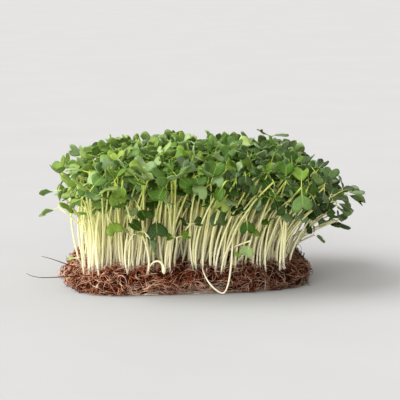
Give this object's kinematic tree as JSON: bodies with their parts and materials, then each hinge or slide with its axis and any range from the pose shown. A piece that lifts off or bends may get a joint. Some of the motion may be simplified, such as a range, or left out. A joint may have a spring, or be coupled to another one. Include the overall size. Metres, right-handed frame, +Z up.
{
  "type": "block of microgreens on a coir mat",
  "caption": "Dense stand of brassica microgreens, pale stems with heart-shaped leaves in pairs, rooted in a flat brown coconut-fibre mat.",
  "frame": {"origin": "middle of the mat's flat underside", "axes": "+Z up, X along the block's long side, -Y towards the front that the picture shows"},
  "size_m": [0.2083, 0.135, 0.0884],
  "materials": {
    "coir": "matt brown coconut fibres, matted together",
    "sprout": "fresh plant tissue, green with a slight sheen",
    "stem": "pale yellow-green, juicy, slightly see-through",
    "leaf": "green with a waxy sheen, paler underneath",
    "root": "white root hairs, matt",
    "seed_coat": "thin brown seed skin"
  },
  "bodies": {
    "root": {"coir_mat": "coir", "sprouts_01": "sprout", "sprouts_02": "sprout", "sprouts_03": "sprout", "sprouts_04": "sprout", "sprouts_05": "sprout", "sprouts_06": "sprout", "sprouts_07": "sprout", "sprouts_08": "sprout", "sprouts_09": "sprout", "sprouts_10": "sprout", "sprouts_11": "sprout", "sprouts_12": "sprout", "sprouts_13": "sprout", "sprouts_14": "sprout", "sprouts_15": "sprout", "sprouts_16": "sprout", "sprouts_17": "sprout", "sprouts_18": "sprout", "sprouts_19": "sprout", "sprouts_20": "sprout", "sprouts_21": "sprout", "sprouts_22": "sprout", "sprouts_23": "sprout", "sprouts_24": "sprout", "sprouts_25": "sprout", "sprouts_26": "sprout", "sprouts_27": "sprout", "sprouts_28": "sprout", "sprouts_29": "sprout", "sprouts_30": "sprout", "sprouts_31": "sprout", "sprouts_32": "sprout"}
  },
  "joints": []
}
